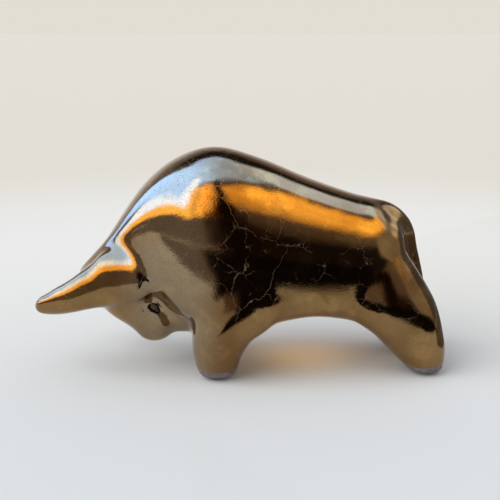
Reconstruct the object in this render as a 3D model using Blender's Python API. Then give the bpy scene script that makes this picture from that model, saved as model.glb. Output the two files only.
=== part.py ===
"""A stylised bull, one glazed ceramic casting: humped back, lowered head, two horns, a tail ridge and four feet.

The bull faces -X and stands on Z = 0. It is the same on both sides of Y = 0, but for the head, which is turned.
"""

import math
from typing import NamedTuple

import bmesh
import bpy
from mathutils import Vector

# The finished size, in metres: horn tip to hind foot, floor to hump, and shoulder to shoulder.
LENGTH = 0.318
HEIGHT = 0.175
BREADTH = 0.120

# The sections further down are drawn in millimetres, on a bull of this size that has its middle at this X.
DRAWN_LENGTH = 318
DRAWN_HEIGHT = 175
DRAWN_BREADTH = 120
DRAWN_MIDDLE = 1.2

# The masses are fused on a grid of this size, in metres, and then relaxed, so that each flows into the next.
GRAIN = 0.0022
RELAXING_PASSES = 30
KEPT_FACES = 0.126

# The head is turned a little to the bull's right, in degrees, about an upright line at the nape.
HEAD_TURN = 20
NAPE_X = -78

RING_POINTS = 40
RINGS_PER_SPAN = 6
DOME_RINGS = 7


class Section(NamedTuple):
    """One cross-section of a mass, in drawn millimetres: its centre, half-width, and reach to either side."""

    x: float
    y: float
    z: float
    width: float
    rise: float
    drop: float


class Mass(NamedTuple):
    """A lofted mass: its sections in order, how full each half of them is, how they are turned, and its domes."""

    sections: list
    fullness: tuple
    turned: str
    domes: tuple


def body_section(x, top, widest, bottom, width):
    """An upright section of the body, by the heights of its top, its widest line and its bottom."""
    return Section(x, 0, widest, width, top - widest, widest - bottom)


def head_section(z, front, back, width):
    """A level section of the head, by the lines that it lies between and its half-width."""
    return Section((front + back) / 2, 0, z, width, (back - front) / 2, (back - front) / 2)


def leg_section(z, front, back, inner, outer):
    """A level section of a leg on the -Y side, by the four lines that it lies between."""
    reach = (back - front) / 2
    return Section(front + reach, -(inner + outer) / 2, z, (outer - inner) / 2, reach, reach)


BODY = Mass(
    [
        body_section(-106, top=98, widest=84, bottom=66, width=19),
        body_section(-92, top=120.5, widest=95, bottom=68, width=28),
        body_section(-73, top=146.5, widest=104, bottom=68, width=42),
        body_section(-49, top=166, widest=98, bottom=46, width=55.5),
        body_section(-18, top=175.5, widest=68, bottom=36, width=58.5),
        body_section(17, top=166.5, widest=60, bottom=39, width=56),
        body_section(55, top=150.5, widest=60, bottom=45, width=51),
        body_section(90, top=138, widest=60, bottom=38.5, width=46),
        body_section(106, top=133.5, widest=62, bottom=38, width=43),
        body_section(118, top=122.5, widest=66, bottom=44, width=38),
    ],
    fullness=(2.5, 2.2),
    turned="upright",
    domes=(8, 16),
)

HEAD = Mass(
    [
        head_section(104, front=-102, back=-66, width=26),
        head_section(90, front=-115, back=-64, width=31),
        head_section(78, front=-125, back=-60, width=36),
        head_section(67, front=-120, back=-56, width=37),
        head_section(57, front=-109.5, back=-50, width=34),
        head_section(47, front=-100, back=-46, width=29.5),
        head_section(39, front=-88, back=-46, width=23),
        head_section(32, front=-79, back=-52, width=18),
    ],
    fullness=(2.3, 2.3),
    turned="level",
    domes=(12, 9),
)

HORN = Mass(
    [
        Section(-75, -27.5, 76.5, 18, 28.5, 17),
        Section(-84, -29, 73, 18.3, 28.5, 14.5),
        Section(-91, -29, 70, 18.5, 25.5, 13),
        Section(-98, -31, 67.5, 17, 22.5, 11.5),
        Section(-108, -33.5, 63.5, 14.5, 20, 9.5),
        Section(-119, -35, 60, 13, 16.5, 9),
        Section(-131, -34.5, 56.5, 11, 13.5, 8.5),
        Section(-141, -33, 54, 8.8, 10, 7.5),
    ],
    fullness=(2, 2),
    turned="along",
    domes=(27, 12.5),
)

THROAT = Mass(
    [
        Section(-78, 0, 62, 18, 20, 24),
        Section(-62, 0, 60, 22, 24, 28),
        Section(-46, 0, 60, 28, 26, 31.5),
        Section(-30, 0, 62, 34, 28, 32),
    ],
    fullness=(2, 2),
    turned="upright",
    domes=(8, 12),
)

FORELEG = Mass(
    [
        leg_section(8, front=-35, back=-2, inner=8, outer=47),
        leg_section(18, front=-37, back=0, inner=7, outer=52),
        leg_section(26, front=-38, back=4, inner=7, outer=55),
        leg_section(34, front=-38, back=9, inner=7, outer=57.5),
        leg_section(43, front=-38, back=22, inner=7, outer=59.5),
        leg_section(60, front=-36, back=36, inner=6, outer=60),
        leg_section(84, front=-30, back=28, inner=4, outer=57.5),
    ],
    fullness=(2.7, 2.7),
    turned="level",
    domes=(10, 14),
)

HIND_LEG = Mass(
    [
        leg_section(8, front=126, back=159, inner=8, outer=47),
        leg_section(18, front=116, back=160, inner=7, outer=49.5),
        leg_section(27, front=108, back=159, inner=7, outer=51),
        leg_section(35, front=100, back=157, inner=7, outer=52),
        leg_section(45, front=86, back=155, inner=6, outer=52),
        leg_section(60, front=74, back=150, inner=4, outer=50.5),
        leg_section(78, front=74, back=140, inner=2, outer=45),
        leg_section(96, front=76, back=128, inner=0, outer=39),
    ],
    fullness=(2.4, 2.4),
    turned="level",
    domes=(10, 14),
)

TAIL = Mass(
    [
        Section(92, 0, 126, 15, 10, 9),
        Section(106, 0, 123.5, 14.5, 10.5, 9),
        Section(118, 0, 119.5, 13, 11, 9),
        Section(128.2, 0, 108.6, 11, 11, 9),
        Section(133.2, 0, 92.6, 9.5, 9.5, 8),
        Section(138, 0, 77, 8, 9, 8),
        Section(142, 0, 63, 7, 8, 7),
    ],
    fullness=(2, 2),
    turned="along",
    domes=(4, 12),
)


def catmull_rom(before, start, end, after, t):
    """The curve's value between start and end, shaped by the values on either side of them."""
    slope_in = (end - before) / 2
    slope_out = (after - start) / 2
    return (
        (2 * t**3 - 3 * t**2 + 1) * start
        + (t**3 - 2 * t**2 + t) * slope_in
        + (3 * t**2 - 2 * t**3) * end
        + (t**3 - t**2) * slope_out
    )


def smooth_run(sections):
    """The sections with more of them set between, on one smooth curve."""
    first = Section(*(2 * a - b for a, b in zip(sections[0], sections[1])))
    last = Section(*(2 * a - b for a, b in zip(sections[-1], sections[-2])))
    padded = [first, *sections, last]
    run = []
    for four in zip(padded, padded[1:], padded[2:], padded[3:]):
        for step in range(RINGS_PER_SPAN):
            t = step / RINGS_PER_SPAN
            run.append(Section(*(catmull_rom(*values, t) for values in zip(*four))))
    run.append(sections[-1])
    return run


def domed(run, start_reach, end_reach):
    """The run with a rounded end beyond its first and its last section."""
    out = []
    for ends, reach, order in ((run[:2], start_reach, -1), (run[:-3:-1], end_reach, 1)):
        tip, inside = ends
        away = (Vector(tip[:3]) - Vector(inside[:3])).normalized()
        cap = []
        for step in range(1, DOME_RINGS + 1):
            angle = math.pi / 2 * step / (DOME_RINGS + 0.35)
            centre = Vector(tip[:3]) + away * reach * math.sin(angle)
            cap.append(Section(*centre, *(size * math.cos(angle) for size in tip[3:])))
        out.append(cap[::order])
    return [*out[0], *run, *out[1]]


def ring_axes(run, index, turned):
    """The sideways and the rising direction of a section's plane."""
    if turned == "upright":
        return Vector((0, 1, 0)), Vector((0, 0, 1))
    if turned == "level":
        return Vector((0, 1, 0)), Vector((1, 0, 0))
    ahead = Vector(run[min(index + 1, len(run) - 1)][:3])
    behind = Vector(run[max(index - 1, 0)][:3])
    tangent = (ahead - behind).normalized()
    side = Vector((0, 0, 1)).cross(tangent).normalized()
    if abs(tangent.y) < 1e-6:
        side = Vector((0, 1, 0))
    rising = tangent.cross(side)
    return side, rising if rising.z >= 0 or abs(rising.z) < abs(rising.x) else -rising


def squared(value, fullness):
    """A sine or cosine made fuller, so that a ring runs from an ellipse towards a rounded box."""
    return math.copysign(abs(value) ** (2 / fullness), value)


def turned_head(point):
    """A drawn point of the head, turned with it about an upright line through the nape."""
    x = point.x - NAPE_X
    turn = math.radians(HEAD_TURN)
    return Vector(
        (
            NAPE_X + x * math.cos(turn) + point.y * math.sin(turn),
            point.y * math.cos(turn) - x * math.sin(turn),
            point.z,
        )
    )


def to_metres(point):
    """A drawn point at the bull's finished size."""
    return Vector(
        (
            (point.x - DRAWN_MIDDLE) * LENGTH / DRAWN_LENGTH,
            point.y * BREADTH / DRAWN_BREADTH,
            point.z * HEIGHT / DRAWN_HEIGHT,
        )
    )


def add_mass(mesh, mass, side=1, place=None):
    """Lofts one mass into the mesh as a closed shell. A side of -1 puts it on the other flank."""
    run = domed(smooth_run(mass.sections), *mass.domes)
    rings = []
    for index, section in enumerate(run):
        sideways, rising = ring_axes(run, index, mass.turned)
        ring = []
        for step in range(RING_POINTS):
            angle = 2 * math.pi * step / RING_POINTS
            upper = math.sin(angle) >= 0
            reach = section.rise if upper else section.drop
            fullness = mass.fullness[0 if upper else 1]
            point = (
                Vector(section[:3])
                + sideways * section.width * squared(math.cos(angle), fullness)
                + rising * reach * squared(math.sin(angle), fullness)
            )
            point.y *= side
            ring.append(mesh.verts.new(to_metres(place(point) if place else point)))
        rings.append(ring)
    faces = [mesh.faces.new(rings[0]), mesh.faces.new(rings[-1])]
    for lower, upper in zip(rings, rings[1:]):
        for step in range(RING_POINTS):
            after = (step + 1) % RING_POINTS
            faces.append(mesh.faces.new((lower[step], lower[after], upper[after], upper[step])))
    bmesh.ops.recalc_face_normals(mesh, faces=faces)


def glaze():
    """The metallic bronze glaze."""
    material = bpy.data.materials.new("bronze_glaze")
    material.use_nodes = True
    shader = material.node_tree.nodes["Principled BSDF"]
    shader.inputs["Base Color"].default_value = (0.34, 0.22, 0.10, 1)
    shader.inputs["Metallic"].default_value = 1
    shader.inputs["Roughness"].default_value = 0.25
    return material


def floor_cutter():
    """A block under the floor, which cuts the soles flat."""
    depth = HEIGHT
    bpy.ops.mesh.primitive_cube_add(size=1, location=(0, 0, -depth / 2))
    block = bpy.context.object
    block.name = "floor_cutter"
    block.scale = (2 * LENGTH, 2 * BREADTH, depth)
    block.hide_render = True
    block.display_type = "WIRE"
    return block


def casting():
    """The whole bull: every mass, fused into one skin and relaxed."""
    mesh = bmesh.new()
    add_mass(mesh, BODY)
    add_mass(mesh, THROAT)
    add_mass(mesh, TAIL)
    add_mass(mesh, HEAD, place=turned_head)
    for side in (1, -1):
        add_mass(mesh, HORN, side, turned_head)
        add_mass(mesh, FORELEG, side)
        add_mass(mesh, HIND_LEG, side)
    data = bpy.data.meshes.new("bull")
    mesh.to_mesh(data)
    mesh.free()
    data.materials.append(glaze())
    bull = bpy.data.objects.new("bull", data)
    bpy.context.scene.collection.objects.link(bull)

    fuse = bull.modifiers.new("fuse", "REMESH")
    fuse.mode = "VOXEL"
    fuse.voxel_size = GRAIN
    fuse.use_smooth_shade = True

    relax = bull.modifiers.new("relax", "SMOOTH")
    relax.factor = 0.5
    relax.iterations = RELAXING_PASSES

    thin = bull.modifiers.new("thin_out", "DECIMATE")
    thin.ratio = KEPT_FACES

    soles = bull.modifiers.new("soles", "BOOLEAN")
    soles.object = floor_cutter()
    return bull


def main():
    """Clears the scene and builds the bull."""
    for item in list(bpy.data.objects):
        bpy.data.objects.remove(item)
    casting()


main()
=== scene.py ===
"""A stylised bull, one glazed ceramic casting, dressed in a crackled bronze glaze on a pale studio floor.

The casting's skin is a finer, faired copy of the fixed solid. It keeps the solid's place and size.
"""

import logging
import math
from dataclasses import dataclass, field
from enum import Enum

import bmesh
import bpy
import numpy as np
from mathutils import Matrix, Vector

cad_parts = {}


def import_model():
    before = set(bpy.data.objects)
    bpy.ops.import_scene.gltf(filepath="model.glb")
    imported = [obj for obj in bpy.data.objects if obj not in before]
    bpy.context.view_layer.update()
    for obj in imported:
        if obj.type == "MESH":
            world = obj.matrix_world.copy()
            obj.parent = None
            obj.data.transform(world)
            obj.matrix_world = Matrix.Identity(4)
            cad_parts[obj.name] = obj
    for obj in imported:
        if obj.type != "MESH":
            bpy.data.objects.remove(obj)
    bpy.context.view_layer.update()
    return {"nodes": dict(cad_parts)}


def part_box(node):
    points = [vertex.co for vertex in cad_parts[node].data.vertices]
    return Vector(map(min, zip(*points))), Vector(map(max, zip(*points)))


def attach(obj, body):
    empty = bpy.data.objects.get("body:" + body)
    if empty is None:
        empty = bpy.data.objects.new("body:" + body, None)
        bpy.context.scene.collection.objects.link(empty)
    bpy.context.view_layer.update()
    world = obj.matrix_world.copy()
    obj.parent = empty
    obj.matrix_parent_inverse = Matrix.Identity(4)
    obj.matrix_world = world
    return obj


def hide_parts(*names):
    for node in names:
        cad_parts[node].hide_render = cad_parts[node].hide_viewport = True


Colour = tuple[float, float, float]
Place = tuple[float, float, float]
Pair = tuple[float, float]
Socket = bpy.types.NodeSocket
log = logging.getLogger("bull")


class Body(Enum):
    """The bodies that a piece can ride on."""

    ROOT = "root"


class Slot(Enum):
    """The record's material slots."""

    BRONZE_GLAZE = "bronze_glaze"


class NodeBench:
    """Adds nodes to one tree and joins them up, so that a pattern reads as a few sums."""

    def __init__(self, tree: bpy.types.NodeTree) -> None:
        """Starts work on the node tree that the nodes go into."""
        self.tree = tree

    def add(self, kind: str, **settings: object) -> bpy.types.Node:
        """Adds one node.

        Args:
            kind: The node's type name in Blender.
            **settings: Values for the node's own properties.

        Returns:
            The new node.
        """
        node = self.tree.nodes.new(kind)
        for name, value in settings.items():
            setattr(node, name, value)
        return node

    def feed(self, socket: Socket, value: object) -> None:
        """Joins an output to a socket, or writes a plain value into it.

        Args:
            socket: The input that is fed.
            value: An output socket, a number, a vector or a colour.
        """
        if isinstance(value, bpy.types.NodeSocket):
            self.tree.links.new(value, socket)
        elif isinstance(value, tuple) and socket.type == "RGBA":
            socket.default_value = (*value, 1.0)
        else:
            socket.default_value = value

    def maths(self, operation: str, *values: object) -> Socket:
        """Adds a Math node.

        Args:
            operation: The node's operation.
            *values: Its inputs, in order.

        Returns:
            Its result.
        """
        node = self.add("ShaderNodeMath", operation=operation)
        for socket, value in zip(node.inputs, values):
            self.feed(socket, value)
        return node.outputs[0]

    def step(self, value: object, low: object, high: object, smooth: bool = True) -> Socket:
        """Adds a soft step from 0 at low to 1 at high.

        Args:
            value: What is compared.
            low: Where the step starts.
            high: Where it ends. It may be below low, which turns the step over.
            smooth: Whether both ends of the step are eased.

        Returns:
            The step's height, from 0 to 1.
        """
        kind = "SMOOTHSTEP" if smooth else "LINEAR"
        node = self.add("ShaderNodeMapRange", interpolation_type=kind)
        for name, given in (("Value", value), ("From Min", low), ("From Max", high)):
            self.feed(node.inputs[name], given)
        return node.outputs["Result"]

    def spread(self, value: object, low: float, high: float) -> Socket:
        """Stretches a value from 0..1 to low..high.

        Args:
            value: The value, from 0 to 1.
            low: The result at 0.
            high: The result at 1.

        Returns:
            The stretched value.
        """
        node = self.add("ShaderNodeMapRange")
        self.feed(node.inputs["Value"], value)
        self.feed(node.inputs["To Min"], low)
        self.feed(node.inputs["To Max"], high)
        return node.outputs["Result"]

    def blend(self, share: object, first: object, second: object) -> Socket:
        """Mixes two colours.

        Args:
            share: How much of the second colour shows, from 0 to 1.
            first: The colour at 0.
            second: The colour at 1.

        Returns:
            The mixed colour.
        """
        node = self.add("ShaderNodeMix", data_type="RGBA")
        self.feed(node.inputs["Factor"], share)
        self.feed(node.inputs[6], first)
        self.feed(node.inputs[7], second)
        return node.outputs[2]

    def edge(self, value: Socket, at: Socket, softness: Socket, rising: bool) -> Socket:
        """Adds a soft edge that is centred on a value.

        Args:
            value: What is compared.
            at: The middle of the edge.
            softness: How wide it is.
            rising: Whether it rises with the value. It falls otherwise.

        Returns:
            The edge's height, from 0 to 1.
        """
        half = self.maths("MULTIPLY", softness, 0.5)
        ends = [self.maths("SUBTRACT", at, half), self.maths("ADD", at, half)]
        return self.step(value, *(ends if rising else ends[::-1]))

    def noise(
        self, place: Socket, scale: object, detail: float = 2.0, rough: float = 0.5
    ) -> bpy.types.Node:
        """Adds a Noise Texture.

        Args:
            place: The coordinates that it reads.
            scale: How fine it is, per metre.
            detail: How many finer layers it has.
            rough: How strong the finer layers are.

        Returns:
            The noise node.
        """
        node = self.add("ShaderNodeTexNoise")
        self.feed(node.inputs["Vector"], place)
        self.feed(node.inputs["Scale"], scale)
        self.feed(node.inputs["Detail"], detail)
        self.feed(node.inputs["Roughness"], rough)
        return node

    def vector(self, operation: str, first: object, second: object = None, scale: object = None) -> Socket:
        """Adds a Vector Math node.

        Args:
            operation: The node's operation.
            first: Its first vector.
            second: Its second vector, where it has one.
            scale: Its scale, where it has one.

        Returns:
            Its vector result.
        """
        node = self.add("ShaderNodeVectorMath", operation=operation)
        self.feed(node.inputs[0], first)
        if second is not None:
            self.feed(node.inputs[1], second)
        if scale is not None:
            self.feed(node.inputs["Scale"], scale)
        return node.outputs[0]


@dataclass(frozen=True)
class Cloud:
    """A cloudy noise in the glaze or the clay.

    Attributes:
        scale: How fine it is, per metre.
        detail: How many finer layers it has.
        rough: How strong the finer layers are.
        ends: The two values between which it turns from nothing to all, where it marks a share.
    """

    scale: float
    detail: float
    rough: float
    ends: Pair = (0.0, 1.0)

    def noise(self, bench: NodeBench, place: Socket) -> Socket:
        """Draws the plain noise over a piece's coordinates, from 0 to 1."""
        return bench.noise(place, self.scale, self.detail, self.rough).outputs["Fac"]

    def share(self, bench: NodeBench, place: Socket) -> Socket:
        """Draws the noise as a share that goes from nothing to all between its two ends."""
        return bench.step(self.noise(bench, place), *self.ends)


@dataclass(frozen=True)
class Crackle:
    """One net of hairline cracks in the glaze.

    Attributes:
        cells: How many cells of the net there are to a metre.
        width: Half the width of a hairline, in metres.
        wander: How far the hairlines stray from straight, in metres.
        kinks: How fine their kinks are, per metre.
        shown: The share of the net that shows, as a threshold and a softness of a patchy noise.
        patches: How fine the patches are in which the net shows, per metre.
        kink_detail: How many finer layers the kinks have.
        kink_rough: How strong those layers are.
        line_ends: Where a line starts to show and where it shows in full, in half widths from its middle.
    """

    cells: float
    width: float
    wander: float
    kinks: float
    shown: Pair
    patches: float
    kink_detail: float = 3.0
    kink_rough: float = 0.65
    line_ends: Pair = (1.6, 0.4)

    def lines(self, bench: NodeBench, place: Socket) -> Socket:
        """Draws the net.

        Args:
            bench: Where the nodes go.
            place: The coordinates on the piece.

        Returns:
            1 on a hairline and 0 away from it.
        """
        stray = bench.noise(place, self.kinks, self.kink_detail, self.kink_rough)
        centred = bench.vector("SUBTRACT", stray.outputs["Color"], (0.5, 0.5, 0.5))
        bent = bench.vector("ADD", place, bench.vector("SCALE", centred, scale=self.wander))
        net = bench.add("ShaderNodeTexVoronoi", feature="DISTANCE_TO_EDGE")
        bench.feed(net.inputs["Vector"], bent)
        bench.feed(net.inputs["Scale"], self.cells)
        reach = self.width * self.cells
        line = bench.step(net.outputs["Distance"], *(reach * end for end in self.line_ends))
        patch = bench.noise(place, self.patches).outputs["Fac"]
        threshold, softness = self.shown
        showing = bench.step(patch, threshold - softness, threshold + softness)
        return bench.maths("MULTIPLY", line, showing)


@dataclass(frozen=True)
class BronzeGlaze:
    """The crackled metallic glaze, with the bare clay that it leaves round the soles.

    Attributes:
        gold: The glaze where it is thin and golden.
        bronze: The glaze's usual tone.
        umber: The glaze where it has pooled and is browner.
        pale: A painted highlight: the paler, greyer tone painted round the neck and the shoulder, for the
            pale reflection that runs along them.
        highlight_band_ends: Where the painted highlight fades in and out again along the bull, as four X
            values in metres.
        highlight_share: How much of the painted highlight's tone shows there.
        pools: Where the bronze shows in the umber.
        clouds: Where the gold shows in both.
        grain: The fine grain of the surface, which shows as specks.
        speck_share: How much of the umber shows in a speck.
        nets: The nets of cracks.
        hairline: The stain in the cracks.
        stain_share: How much of the glaze's tone and shine the stain covers.
        clay: The bare clay.
        clay_mottle: Where the clay is lighter.
        clay_lift: How many times lighter it is there.
        bare_height: How high the bare clay reaches above the floor, in metres.
        bare_waver: How far its upper edge wavers, in metres.
        bare_edge: The noise that its upper edge follows.
        bare_softness: Half the height over which the glaze gives out at that edge, in metres.
        sheen: Where the glaze is duller.
        roughness: How rough the glaze is at its glossiest and at its dullest.
        dull_roughness: How much rougher the clay and the cracks are.
        stipple_depth: How deep the grain is, in metres.
        crack_depth: How deep the cracks are, in metres.
        crack_strength: How much of that depth shows.
    """

    gold: Colour = (0.33, 0.200, 0.077)
    bronze: Colour = (0.265, 0.160, 0.066)
    umber: Colour = (0.19, 0.10, 0.038)
    pale: Colour = (0.42, 0.35, 0.24)
    highlight_band_ends: tuple[float, float, float, float] = (-0.105, -0.065, -0.045, -0.01)
    highlight_share: float = 0.5
    pools: Cloud = Cloud(17.0, 3.0, 0.55, (0.36, 0.64))
    clouds: Cloud = Cloud(46.0, 4.0, 0.6, (0.48, 0.70))
    grain: Cloud = Cloud(900.0, 2.0, 0.6, (0.56, 0.66))
    speck_share: float = 0.55
    nets: tuple[Crackle, ...] = (
        Crackle(27.0, 0.000045, 0.013, 85.0, (0.47, 0.07), 24.0),
        Crackle(78.0, 0.00003, 0.007, 190.0, (0.53, 0.06), 38.0),
    )
    hairline: Colour = (0.15, 0.125, 0.095)
    stain_share: float = 0.85
    clay: Colour = (0.125, 0.10, 0.10)
    clay_mottle: Cloud = Cloud(260.0, 3.0, 0.6, (0.35, 0.7))
    clay_lift: float = 1.5
    bare_height: float = 0.0092
    bare_waver: float = 0.003
    bare_edge: Cloud = Cloud(95.0, 4.0, 0.6)
    bare_softness: float = 0.0005
    sheen: Cloud = Cloud(60.0, 3.0, 0.6)
    roughness: Pair = (0.025, 0.09)
    dull_roughness: float = 0.5
    stipple_depth: float = 0.00004
    crack_depth: float = 0.00005
    crack_strength: float = 0.25

    def crackle(self, bench: NodeBench, place: Socket) -> Socket:
        """Lays the nets of hairlines over each other.

        Args:
            bench: Where the nodes go.
            place: The coordinates on the piece.

        Returns:
            1 on any hairline and 0 elsewhere.
        """
        lines = [net.lines(bench, place) for net in self.nets]
        whole = lines[0]
        for other in lines[1:]:
            whole = bench.maths("MAXIMUM", whole, other)
        return whole

    def bare(self, bench: NodeBench, place: Socket) -> Socket:
        """Marks the band round each sole that the glaze leaves bare.

        Args:
            bench: Where the nodes go.
            place: The coordinates on the piece.

        Returns:
            1 on the bare clay and 0 on the glaze.
        """
        apart = bench.add("ShaderNodeSeparateXYZ")
        bench.feed(apart.inputs[0], place)
        waver = self.bare_edge.noise(bench, place)
        shift = bench.maths("MULTIPLY", bench.maths("SUBTRACT", waver, 0.5), 2 * self.bare_waver)
        height = bench.maths("ADD", apart.outputs["Z"], shift)
        glazed = self.bare_height + self.bare_softness
        return bench.step(height, glazed, self.bare_height - self.bare_softness)

    def painted_highlight(self, bench: NodeBench, place: Socket) -> Socket:
        """Marks the neck and the shoulder, where a paler tone is painted as a highlight.

        Args:
            bench: Where the nodes go.
            place: The coordinates on the piece.

        Returns:
            The share of the painted highlight's tone.
        """
        along = bench.add("ShaderNodeSeparateXYZ")
        bench.feed(along.inputs[0], place)
        front, full, fading, back = self.highlight_band_ends
        rising = bench.step(along.outputs["X"], front, full)
        falling = bench.step(along.outputs["X"], back, fading)
        return bench.maths("MULTIPLY", bench.maths("MULTIPLY", rising, falling), self.highlight_share)

    def bumps(self, bench: NodeBench, grain: Socket, crackle: Socket) -> Socket:
        """Turns the grain and the cracks into small dents.

        Args:
            bench: Where the nodes go.
            grain: The grain's noise.
            crackle: 1 on a hairline.

        Returns:
            The surface's bent normal.
        """
        stipple = bench.add("ShaderNodeBump")
        stipple.inputs["Strength"].default_value = 1.0
        stipple.inputs["Distance"].default_value = self.stipple_depth
        bench.feed(stipple.inputs["Height"], grain)
        furrow = bench.add("ShaderNodeBump", invert=True)
        furrow.inputs["Strength"].default_value = self.crack_strength
        furrow.inputs["Distance"].default_value = self.crack_depth
        bench.feed(furrow.inputs["Height"], crackle)
        bench.feed(furrow.inputs["Normal"], stipple.outputs["Normal"])
        return furrow.outputs["Normal"]

    def material(self) -> bpy.types.Material:
        """Builds the glaze's material.

        Returns:
            The material, on the piece's own coordinates.
        """
        made = bpy.data.materials.new("crackled_bronze_glaze")
        made.use_nodes = True
        bench = NodeBench(made.node_tree)
        shader = made.node_tree.nodes["Principled BSDF"]
        place = bench.add("ShaderNodeTexCoord").outputs["Object"]

        tone = bench.blend(self.pools.share(bench, place), self.umber, self.bronze)
        tone = bench.blend(self.clouds.share(bench, place), tone, self.gold)
        # painted highlight: the neck and the shoulder get a paler, greyer tone for the pale reflection
        # along them
        tone = bench.blend(self.painted_highlight(bench, place), tone, self.pale)
        grain = self.grain.noise(bench, place)
        speck = bench.step(grain, *self.grain.ends)
        tone = bench.blend(bench.maths("MULTIPLY", speck, self.speck_share), tone, self.umber)

        crackle = self.crackle(bench, place)
        bare = self.bare(bench, place)
        stain = bench.maths("MULTIPLY", crackle, self.stain_share)
        tone = bench.blend(stain, tone, self.hairline)
        light_clay = tuple(self.clay_lift * part for part in self.clay)
        clay = bench.blend(self.clay_mottle.share(bench, place), self.clay, light_clay)
        bench.feed(shader.inputs["Base Color"], bench.blend(bare, tone, clay))

        dull = bench.maths("MAXIMUM", stain, bare)
        bench.feed(shader.inputs["Metallic"], bench.maths("SUBTRACT", 1.0, dull))
        sheen = bench.spread(self.sheen.noise(bench, place), *self.roughness)
        rough = bench.maths("ADD", sheen, bench.maths("MULTIPLY", dull, self.dull_roughness))
        bench.feed(shader.inputs["Roughness"], rough)
        bench.feed(shader.inputs["Normal"], self.bumps(bench, grain, crackle))
        return made


@dataclass(frozen=True)
class GlazeRelief:
    """What the hand and the glaze leave in the skin: a faint waver, and a step down to the bare clay.

    Attributes:
        waver_depth: How deep the waver goes, in metres.
        waver_size: How fine the waver is, per metre.
        step_depth: How far the bare clay lies under the glaze, in metres.
        step_height: The height of the step above the floor, in metres.
        step_softness: Over what height the step fades out, and all relief near the floor, in metres.
    """

    waver_depth: float = 0.00022
    waver_size: float = 38.0
    step_depth: float = 0.0003
    step_height: float = 0.0092
    step_softness: float = 0.0012

    def sizes(self) -> dict[str, float]:
        """Names the inputs of the node tree.

        Returns:
            The value of each input, by its name.
        """
        return {
            "Waver Depth": self.waver_depth,
            "Waver Size": self.waver_size,
            "Step Depth": self.step_depth,
            "Step Height": self.step_height,
            "Step Softness": self.step_softness,
        }

    def tree(self, material: bpy.types.Material) -> bpy.types.NodeTree:
        """Builds the node tree that moves the skin inwards.

        Args:
            material: The glaze that the skin gets.

        Returns:
            The tree, with a named input for each size.
        """
        tree = bpy.data.node_groups.new("glaze_relief", "GeometryNodeTree")
        tree.interface.new_socket("Geometry", in_out="INPUT", socket_type="NodeSocketGeometry")
        for name in self.sizes():
            tree.interface.new_socket(name, in_out="INPUT", socket_type="NodeSocketFloat")
        tree.interface.new_socket("Geometry", in_out="OUTPUT", socket_type="NodeSocketGeometry")
        bench = NodeBench(tree)
        given = bench.add("NodeGroupInput").outputs
        place = bench.add("GeometryNodeInputPosition").outputs[0]
        outward = bench.add("GeometryNodeInputNormal").outputs[0]
        apart = bench.add("ShaderNodeSeparateXYZ")
        bench.feed(apart.inputs[0], place)
        height = apart.outputs["Z"]

        waver = bench.noise(place, given["Waver Size"], detail=1.0).outputs["Fac"]
        dip = bench.maths("MULTIPLY", waver, given["Waver Depth"])
        step_top = bench.maths("ADD", given["Step Height"], given["Step Softness"])
        below = bench.step(height, step_top, given["Step Height"])
        dip = bench.maths("ADD", dip, bench.maths("MULTIPLY", below, given["Step Depth"]))
        standing = bench.step(height, 0.0, given["Step Softness"])
        dip = bench.maths("MULTIPLY", dip, standing)
        offset = bench.vector("SCALE", outward, scale=bench.maths("MULTIPLY", dip, -1.0))

        moved = bench.add("GeometryNodeSetPosition")
        bench.feed(moved.inputs["Geometry"], given["Geometry"])
        bench.feed(moved.inputs["Offset"], offset)
        realised = bench.add("GeometryNodeRealizeInstances")
        bench.feed(realised.inputs[0], moved.outputs[0])
        painted = bench.add("GeometryNodeSetMaterial")
        bench.feed(painted.inputs["Geometry"], realised.outputs[0])
        painted.inputs["Material"].default_value = material
        out = bench.add("NodeGroupOutput")
        bench.feed(out.inputs[0], painted.outputs[0])
        return tree

    def apply(self, piece: bpy.types.Object, material: bpy.types.Material) -> bpy.types.Mesh:
        """Runs the relief on a piece and takes the result as a plain mesh.

        Args:
            piece: The skin, as a mesh with no modifiers.
            material: The glaze that it gets.

        Returns:
            The new mesh.
        """
        tree = self.tree(material)
        relief = piece.modifiers.new("relief", "NODES")
        relief.node_group = tree
        sizes = self.sizes()
        for item in tree.interface.items_tree:
            if item.in_out == "INPUT" and item.name in sizes:
                relief[item.identifier] = sizes[item.name]
        return plain_mesh(piece)


def plain_mesh(piece: bpy.types.Object) -> bpy.types.Mesh:
    """Takes a piece's mesh with its modifiers worked into it, and clears them from the piece.

    Args:
        piece: The object whose modifiers are finished.

    Returns:
        The new mesh.
    """
    graph = bpy.context.evaluated_depsgraph_get()
    made = bpy.data.meshes.new_from_object(piece.evaluated_get(graph), depsgraph=graph)
    piece.modifiers.clear()
    return made


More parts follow.
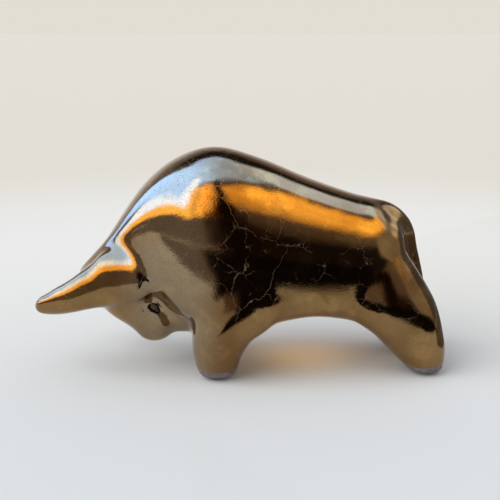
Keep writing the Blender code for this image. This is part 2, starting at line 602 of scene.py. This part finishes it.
@dataclass
class CastingSkin:
    """The bull's skin, from horn tips to soles, in one piece.

    Attributes:
        node: The fixed solid that it stands for.
        grain: The size of its faces, in metres.
        fairing_rounds: How many rounds of fairing it gets.
        shrink: How far a point moves towards its neighbours in the first half of a round.
        swell: How far it moves away again in the second half.
        merge_distance: Corners of the solid that are closer than this are one, in metres.
        finish: The glaze.
        relief: The waver and the step at the soles.
    """

    node: str = "bull"
    grain: float = 0.0014
    fairing_rounds: int = 110
    shrink: float = 0.55
    swell: float = -0.57
    merge_distance: float = 1e-6
    finish: BronzeGlaze = field(default_factory=BronzeGlaze)
    relief: GlazeRelief = field(default_factory=GlazeRelief)

    def fused(self, solid: bpy.types.Object) -> bpy.types.Object:
        """Copies the solid onto a finer and even grid of faces.

        Args:
            solid: The fixed solid.

        Returns:
            The new object, at the origin.
        """
        mesh = solid.data.copy()
        mesh.materials.clear()
        editing = bmesh.new()
        editing.from_mesh(mesh)
        bmesh.ops.remove_doubles(editing, verts=editing.verts, dist=self.merge_distance)
        editing.to_mesh(mesh)
        editing.free()
        skin = bpy.data.objects.new("bull_skin", mesh)
        bpy.context.scene.collection.objects.link(skin)
        grid = skin.modifiers.new("grid", "REMESH")
        grid.mode = "VOXEL"
        grid.voxel_size = self.grain
        grid.use_smooth_shade = True
        skin.data = plain_mesh(skin)
        return skin

    def fair(self, mesh: bpy.types.Mesh) -> None:
        """Smooths the facets away and keeps the volume, in rounds of a shrink and a swell.

        Args:
            mesh: The skin's mesh, which is changed in place.
        """
        count = len(mesh.vertices)
        place = np.empty(count * 3)
        mesh.vertices.foreach_get("co", place)
        place = place.reshape(-1, 3)
        ends = np.empty(len(mesh.edges) * 2, dtype=np.int64)
        mesh.edges.foreach_get("vertices", ends)
        first, second = ends.reshape(-1, 2).T
        sources = np.concatenate([second, first])
        targets = np.concatenate([first, second])
        valence = np.bincount(targets, minlength=count)[:, None]
        for _ in range(self.fairing_rounds):
            for pull in (self.shrink, self.swell):
                sums = [np.bincount(targets, place[sources, axis], count) for axis in range(3)]
                place = place + pull * (np.stack(sums, axis=1) / valence - place)
        mesh.vertices.foreach_set("co", place.ravel())
        mesh.update()

    def seat(self, mesh: bpy.types.Mesh) -> None:
        """Sets the soles flat on the floor and keeps the skin within the solid's box.

        Args:
            mesh: The skin's mesh, which is changed in place.
        """
        lowest, highest = (np.array(corner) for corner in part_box(self.node))
        place = np.empty(len(mesh.vertices) * 3)
        mesh.vertices.foreach_get("co", place)
        place = place.reshape(-1, 3)
        np.clip(place, lowest, highest, out=place)
        mesh.vertices.foreach_set("co", place.ravel())
        mesh.update()

    def build(self, solid: bpy.types.Object) -> bpy.types.Object:
        """Builds the skin and dresses it.

        Args:
            solid: The fixed solid that it stands for.

        Returns:
            The finished piece.
        """
        skin = self.fused(solid)
        self.fair(skin.data)
        self.seat(skin.data)
        skin.data = self.relief.apply(skin, self.finish.material())
        skin.data.shade_smooth()
        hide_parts(self.node)
        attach(skin, Body.ROOT.value)
        return skin


@dataclass(frozen=True)
class RoomPanel:
    """A soft-edged panel of the room round the bull, as the glaze sees it.

    Attributes:
        name: What the panel is.
        middle: The direction of its middle, in degrees. 0 faces the left flank, and 90 the rump.
        reach: How far it reaches to either side, in degrees.
        low: The elevation of its lower edge, in degrees, where it is faced squarely.
        high: The elevation of its upper edge, in degrees, where it is faced squarely.
        side_softness: How wide its side edges fade, in degrees.
        edge_softness: How wide its lower and upper edges fade, in degrees.
        light: The light that it gives.
        facing: The direction in which it is faced squarely, if it is flat. A round one is None.
        mottle: How uneven its light is, from 0 to 1.
    """

    name: str
    middle: float
    reach: float
    low: float
    high: float
    side_softness: float
    edge_softness: Pair
    light: Colour
    facing: float | None = None
    mottle: float = 0.0

    def measures(self) -> dict[str, float]:
        """Names the panel's measures as its node group has them.

        Returns:
            The value of each measure, by the name of its input.
        """
        foot, head = self.edge_softness
        return {
            "Middle": self.middle,
            "Reach": self.reach,
            "Low": self.low,
            "High": self.high,
            "Side": self.side_softness,
            "Foot": foot,
            "Head": head,
            "Facing": self.facing or 0.0,
            "Flat": 0.0 if self.facing is None else 1.0,
            "Mottle": self.mottle,
        }


@dataclass(frozen=True)
class Room:
    """The light all round: soft panels for what the glaze reflects, and an even light for what is matt.

    Attributes:
        backdrop: What the camera sees beyond the floor.
        ambient: The even light on matt surfaces.
        dusk: The room where no panel hangs.
        gain: How strong all the panels are.
        blotches: How fine the unevenness of the panels' light is.
        blotch_gain: How strongly a mottle of 1 makes a panel's light uneven.
        panels: The panels, from the furthest to the nearest.
    """

    backdrop: Colour = (0.765, 0.73, 0.65)
    ambient: Colour = (0.58, 0.585, 0.595)
    dusk: Colour = (0.20, 0.165, 0.14)
    gain: Colour = (1.33, 1.38, 1.48)
    blotches: float = 7.0
    blotch_gain: float = 3.0
    panels: tuple[RoomPanel, ...] = (
        RoomPanel("back wall, low", 184, 36, -90, 14, 16, (1, 24), (0.55, 0.48, 0.40)),
        RoomPanel("back wall, high", 170, 40, 34, 62, 14, (14, 6), (0.03, 0.025, 0.022)),
        RoomPanel("right wall, low", 108, 37, -60, 25, 14, (8, 10), (0.15, 0.15, 0.155)),
        RoomPanel("right wall, high", 104, 28, 27, 46, 14, (8, 8), (0.95, 1.0, 1.05), None, 0.5),
        RoomPanel("ceiling", 0, 181, 60, 91, 1, (9, 1), (0.98, 1.75, 3.7)),
        RoomPanel("right daylight", 108, 26, 47, 66, 12, (6, 6), (1.2, 1.75, 3.1)),
        RoomPanel("left window, amber foot", -78, 78, 24, 60, 6, (4, 4), (2.5, 1.4, 0.26), -30),
        RoomPanel("left window, pale", -84, 76, 37, 72, 8, (10, 6), (2.2, 2.9, 4.3), -34),
        RoomPanel("left window, cool", -88, 60, 47, 90, 16, (16, 8), (1.1, 2.0, 4.1), -50),
        RoomPanel("warm panel, left", 8, 6, 24, 57, 3, (6, 5), (3.2, 1.6, 0.26), None, 0.2),
        RoomPanel("warm panel, right", 53, 38, 32, 52, 8, (13, 8), (2.5, 1.5, 0.31), None, 0.4),
        RoomPanel("front wall, right", 44, 36.5, -60, 18, 3, (2, 10), (0.022, 0.017, 0.02)),
        RoomPanel("doorway", 64, 22, 3, 27, 8, (4, 8), (0.42, 0.38, 0.33)),
        RoomPanel("upright post, foot", 15.5, 7.0, -60, 33, 3, (1, 6), (0.04, 0.022, 0.018)),
        RoomPanel("upright post", 15.4, 4.8, -60, 61, 1.0, (1, 4), (0.012, 0.007, 0.006)),
    )

    def panel_group(self) -> bpy.types.NodeTree:
        """Builds the node group that lays one panel over the room.

        Returns:
            The group, with a named input for each of the panel's measures.
        """
        tree = bpy.data.node_groups.new("room_panel", "ShaderNodeTree")
        tree.interface.new_socket("Room", in_out="INPUT", socket_type="NodeSocketColor")
        tree.interface.new_socket("Light", in_out="INPUT", socket_type="NodeSocketColor")
        for name in ("Azimuth", "Elevation", *self.panels[0].measures(), "Blotch"):
            tree.interface.new_socket(name, in_out="INPUT", socket_type="NodeSocketFloat")
        tree.interface.new_socket("Room", in_out="OUTPUT", socket_type="NodeSocketColor")
        bench = NodeBench(tree)
        given = bench.add("NodeGroupInput").outputs
        turn = bench.maths("SUBTRACT", given["Azimuth"], given["Middle"])
        aside = bench.maths("ABSOLUTE", bench.maths("WRAP", turn, 180.0, -180.0))
        off_square = bench.maths("RADIANS", bench.maths("SUBTRACT", given["Azimuth"], given["Facing"]))
        rise = bench.maths("TANGENT", bench.maths("RADIANS", given["Elevation"]))
        squared = bench.maths("DEGREES", bench.maths("ARCTAN2", rise, bench.maths("COSINE", off_square)))
        flat = bench.maths("MULTIPLY", given["Flat"], bench.maths("SUBTRACT", squared, given["Elevation"]))
        height = bench.maths("ADD", given["Elevation"], flat)

        across = bench.edge(aside, given["Reach"], given["Side"], rising=False)
        above = bench.edge(height, given["Low"], given["Foot"], rising=True)
        below = bench.edge(height, given["High"], given["Head"], rising=False)
        share = bench.maths("MULTIPLY", across, bench.maths("MULTIPLY", above, below))
        uneven = bench.maths("MULTIPLY", given["Mottle"], bench.maths("SUBTRACT", given["Blotch"], 0.5))
        strength = bench.maths("MULTIPLY_ADD", uneven, self.blotch_gain, 1.0)
        light = bench.vector("SCALE", given["Light"], scale=strength)
        out = bench.add("NodeGroupOutput")
        bench.feed(out.inputs[0], bench.blend(share, given["Room"], light))
        return tree

    def build(self) -> bpy.types.World:
        """Builds the room as the scene's world.

        Returns:
            The world.
        """
        world = bpy.data.worlds.new("studio_room")
        world.use_nodes = True
        world.cycles.sampling_method = "NONE"
        tree = world.node_tree
        tree.nodes.clear()
        bench = NodeBench(tree)
        way = bench.add("ShaderNodeTexCoord").outputs["Generated"]
        apart = bench.add("ShaderNodeSeparateXYZ")
        bench.feed(apart.inputs[0], way)
        leftward = bench.maths("MULTIPLY", apart.outputs["Y"], -1.0)
        azimuth = bench.maths("DEGREES", bench.maths("ARCTAN2", apart.outputs["X"], leftward))
        elevation = bench.maths("DEGREES", bench.maths("ARCSINE", apart.outputs["Z"]))
        blotch = bench.noise(way, self.blotches).outputs["Fac"]
        group = self.panel_group()
        room: object = self.dusk
        for panel in self.panels:
            node = bench.add("ShaderNodeGroup", node_tree=group, label=panel.name)
            bench.feed(node.inputs["Room"], room)
            bench.feed(node.inputs["Light"], panel.light)
            values = {"Azimuth": azimuth, "Elevation": elevation, "Blotch": blotch, **panel.measures()}
            for name, value in values.items():
                bench.feed(node.inputs[name], value)
            room = node.outputs[0]
        room = bench.vector("MULTIPLY", room, self.gain)
        path = bench.add("ShaderNodeLightPath")
        seen = bench.blend(path.outputs["Is Glossy Ray"], self.ambient, room)
        seen = bench.blend(path.outputs["Is Camera Ray"], seen, self.backdrop)
        glow = bench.add("ShaderNodeBackground")
        bench.feed(glow.inputs["Color"], seen)
        out = bench.add("ShaderNodeOutputWorld")
        bench.feed(out.inputs["Surface"], glow.outputs[0])
        bpy.context.scene.world = world
        return world


@dataclass(frozen=True)
class DarkCard:
    """A dark card along the front of the table and two dark sheets on the floor, which only the glaze
    sees; the sheets make the floor show darker in its reflections.

    Attributes:
        left: Its left end on the floor, as X and Y in metres.
        right: Its right end on the floor, as X and Y in metres.
        height: How high it stands, in metres.
        left_tone: Its tone at the left end.
        right_tone: Its tone at the right end.
        change: Where the one tone turns into the other, as two X values in metres.
        skirt: The corners of the dark sheet that lies on the floor before it, as X and Y in metres.
        side_sheet: The corners of the dusky sheet that lies on the floor behind the rump, the same way.
        side_tone: The dusky sheet's tone.
        side_from: Where the dark sheet's tone turns into the dusky one's, as two X values in metres.
        sheet_height: How high the sheets lie above the floor, in metres.
        sheet_top: The two heights between which the sheets' tones turn into the card's, in metres.
    """

    left: Pair = (-0.95, -0.59)
    right: Pair = (1.2, -0.19)
    height: float = 0.105
    left_tone: Colour = (0.26, 0.22, 0.20)
    right_tone: Colour = (0.012, 0.010, 0.012)
    change: Pair = (-0.02, 0.005)
    skirt: tuple[Pair, ...] = ((-0.044, -0.13), (0.10, -0.36), (0.0, -0.44), (-0.04, -0.24))
    side_sheet: tuple[Pair, ...] = ((0.25, -0.08), (4.0, -0.6), (4.0, 4.0), (0.14, 0.35))
    side_tone: Colour = (0.19, 0.17, 0.15)
    side_from: Pair = (0.11, 0.12)
    sheet_height: float = 0.001
    sheet_top: Pair = (0.002, 0.0015)

    def material(self) -> bpy.types.Material:
        """Builds the dark paint of the card and the sheets.

        Returns:
            The material.
        """
        made = bpy.data.materials.new("dark_card")
        made.use_nodes = True
        tree = made.node_tree
        tree.nodes.clear()
        bench = NodeBench(tree)
        apart = bench.add("ShaderNodeSeparateXYZ")
        bench.feed(apart.inputs[0], bench.add("ShaderNodeTexCoord").outputs["Object"])
        glow = bench.add("ShaderNodeEmission")
        share = bench.step(apart.outputs["X"], *self.change)
        flat = bench.step(apart.outputs["Z"], *self.sheet_top)
        tone = bench.blend(bench.maths("MAXIMUM", share, flat), self.left_tone, self.right_tone)
        beside = bench.maths("MULTIPLY", flat, bench.step(apart.outputs["X"], *self.side_from))
        bench.feed(glow.inputs["Color"], bench.blend(beside, tone, self.side_tone))
        out = bench.add("ShaderNodeOutputMaterial")
        bench.feed(out.inputs["Surface"], glow.outputs[0])
        made.cycles.emission_sampling = "NONE"
        return made

    def build(self) -> bpy.types.Object:
        """Stands the card up and lays the sheets out.

        Returns:
            The card with its sheets, which isn't part of the bull.
        """
        mesh = bpy.data.meshes.new("dark_card")
        foot = [(*end, 0.0) for end in (self.left, self.right)]
        head = [(*end, self.height) for end in (self.right, self.left)]
        # two dark sheets on the floor that only the glaze sees; they darken the floor where the glaze
        # reflects it
        floor_sheets = [(*place, self.sheet_height) for place in (*self.skirt, *self.side_sheet)]
        mesh.from_pydata([*foot, *head, *floor_sheets], [], [(0, 1, 2, 3), (4, 5, 6, 7), (8, 9, 10, 11)])
        mesh.materials.append(self.material())
        card = bpy.data.objects.new("dark_card", mesh)
        bpy.context.scene.collection.objects.link(card)
        for kind in ("camera", "diffuse", "transmission", "volume_scatter", "shadow"):
            setattr(card, f"visible_{kind}", False)
        return card


@dataclass(frozen=True)
class FloorPaper:
    """The pale paper that the bull stands on, with the light on it painted into its tone.

    Attributes:
        near: Its colour in front of the bull, painted for the light that falls there.
        lit: Its colour behind the bull, painted palest for the light that falls there.
        far: Its colour far away, painted to the backdrop's brightness so that it runs into the backdrop.
        rise: Where the first turns into the second, as two Y values in metres.
        fade: Where that turns into the third, as two distances from the bull in metres.
        roughness: How matt it is.
        gloss: How much it shines where it is seen at a slant.
    """

    near: Colour = (0.735, 0.765, 0.785)
    lit: Colour = (0.83, 0.835, 0.81)
    far: Colour = (0.765, 0.725, 0.637)
    rise: Pair = (-0.25, 0.40)
    fade: Pair = (0.50, 1.2)
    roughness: float = 0.9
    gloss: float = 0.1

    def material(self) -> bpy.types.Material:
        """Builds the paper's material.

        Returns:
            The material.
        """
        made = bpy.data.materials.new("pale_paper")
        made.use_nodes = True
        bench = NodeBench(made.node_tree)
        shader = made.node_tree.nodes["Principled BSDF"]
        place = bench.add("ShaderNodeTexCoord").outputs["Object"]
        away = bench.add("ShaderNodeVectorMath", operation="LENGTH")
        bench.feed(away.inputs[0], place)
        apart = bench.add("ShaderNodeSeparateXYZ")
        bench.feed(apart.inputs[0], place)
        # painted light: the paper's tone follows the light on it, from the near tone to the lit one and
        # out to the far one
        tone = bench.blend(bench.step(apart.outputs["Y"], *self.rise), self.near, self.lit)
        tone = bench.blend(bench.step(away.outputs["Value"], *self.fade), tone, self.far)
        bench.feed(shader.inputs["Base Color"], tone)
        shader.inputs["Roughness"].default_value = self.roughness
        shader.inputs["Specular IOR Level"].default_value = self.gloss
        return made


@dataclass(frozen=True)
class Viewpoint:
    """Where the camera stands.

    Attributes:
        azimuth: The direction it stands in, in degrees. 0 faces the left flank, and 90 the rump.
        elevation: How high it looks down from, in degrees.
        distance: How far it is from what it looks at, in metres.
        target: The point that it looks at.
        lens: Its focal length, in millimetres.
        frame_width: The width of its picture frame, in millimetres.
    """

    azimuth: float = -4.0
    elevation: float = 13.0
    distance: float = 0.75
    target: Place = (0.0078, 0.0, 0.0937)
    lens: float = 68.7
    frame_width: float = 36.0

    def away(self) -> Vector:
        """Gives the direction from the target to the camera.

        Returns:
            The direction, with a length of 1.
        """
        turn = math.radians(self.azimuth)
        rise = math.radians(self.elevation)
        level = math.cos(rise)
        return Vector((math.sin(turn) * level, -math.cos(turn) * level, math.sin(rise)))

    def build(self) -> bpy.types.Object:
        """Builds the camera.

        Returns:
            The camera, which is the scene's own.
        """
        data = bpy.data.cameras.new("camera")
        data.lens = self.lens
        data.sensor_width = self.frame_width
        camera = bpy.data.objects.new("camera", data)
        bpy.context.scene.collection.objects.link(camera)
        camera.rotation_mode = "QUATERNION"
        camera.location = Vector(self.target) + self.away() * self.distance
        camera.rotation_quaternion = (-self.away()).to_track_quat("-Z", "Y")
        bpy.context.scene.camera = camera
        return camera


@dataclass
class Studio:
    """The pale floor, the room round it, the dark card, two soft lights and the camera.

    Attributes:
        floor_reach: How far the floor reaches from the bull, in metres.
        floor_sides: How many sides its round outline has.
        paper: The floor's finish.
        room: The light all round.
        dark_card: The card along the front of the table, with its two dark floor sheets.
        viewpoint: Where the camera stands.
        sun_from: The direction that the soft light comes from.
        sun_spread: How wide it is, in degrees.
        sun_strength: How strong it is, in watts per square metre.
        sun_colour: Its colour.
        bounce_place: Where the warm light under the belly hangs, in metres.
        bounce_size: Its length and its width, in metres.
        bounce_power: How strong it is, in watts.
        bounce_colour: Its colour.
    """

    floor_reach: float = 60.0
    floor_sides: int = 96
    paper: FloorPaper = field(default_factory=FloorPaper)
    room: Room = field(default_factory=Room)
    dark_card: DarkCard = field(default_factory=DarkCard)
    viewpoint: Viewpoint = field(default_factory=Viewpoint)
    sun_from: Place = (-0.78, -0.42, 0.66)
    sun_spread: float = 62.0
    sun_strength: float = 2.15
    sun_colour: Colour = (1.0, 0.99, 0.97)
    bounce_place: Place = (0.06, 0.012, 0.042)
    bounce_size: Pair = (0.12, 0.05)
    bounce_power: float = 0.022
    bounce_colour: Colour = (1.0, 0.52, 0.12)

    def floor(self) -> bpy.types.Object:
        """Builds the floor, which isn't part of the bull.

        Returns:
            The floor.
        """
        mesh = bpy.data.meshes.new("floor")
        editing = bmesh.new()
        bmesh.ops.create_circle(
            editing, cap_ends=True, segments=self.floor_sides, radius=self.floor_reach
        )
        editing.to_mesh(mesh)
        editing.free()
        mesh.materials.append(self.paper.material())
        floor = bpy.data.objects.new("floor", mesh)
        bpy.context.scene.collection.objects.link(floor)
        return floor

    def lamp(self) -> bpy.types.Object:
        """Hangs the soft light that gives the floor its shadow.

        Returns:
            The light.
        """
        data = bpy.data.lights.new("soft_daylight", "SUN")
        data.angle = math.radians(self.sun_spread)
        data.energy = self.sun_strength
        data.color = self.sun_colour
        lamp = bpy.data.objects.new("soft_daylight", data)
        bpy.context.scene.collection.objects.link(lamp)
        lamp.rotation_mode = "QUATERNION"
        lamp.rotation_quaternion = (-Vector(self.sun_from)).to_track_quat("-Z", "Y")
        lamp.visible_glossy = False
        return lamp

    def warm_bounce(self) -> bpy.types.Object:
        """Hangs a warm light under the belly, for the light that the glaze throws on the floor there.

        Returns:
            The light.
        """
        data = bpy.data.lights.new("warm_bounce", "AREA")
        data.shape = "RECTANGLE"
        data.size, data.size_y = self.bounce_size
        data.energy = self.bounce_power
        data.color = self.bounce_colour
        lamp = bpy.data.objects.new("warm_bounce", data)
        bpy.context.scene.collection.objects.link(lamp)
        lamp.location = self.bounce_place
        lamp.visible_glossy = False
        lamp.visible_camera = False
        return lamp

    def build(self) -> None:
        """Builds all of the studio."""
        self.floor()
        self.room.build()
        self.dark_card.build()
        self.lamp()
        self.warm_bounce()
        self.viewpoint.build()
        bpy.context.scene.view_settings.view_transform = "Standard"


def main() -> None:
    """Loads the fixed frame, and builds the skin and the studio."""
    logging.basicConfig(level=logging.INFO, format="%(name)s: %(message)s")
    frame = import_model()
    casting = CastingSkin()
    skin = casting.build(frame["nodes"][casting.node])
    log.info("%s: %d faces", skin.name, len(skin.data.polygons))
    Studio().build()
    log.info("studio: floor, room, dark card, two lights and camera")


if __name__ == "__main__":
    main()
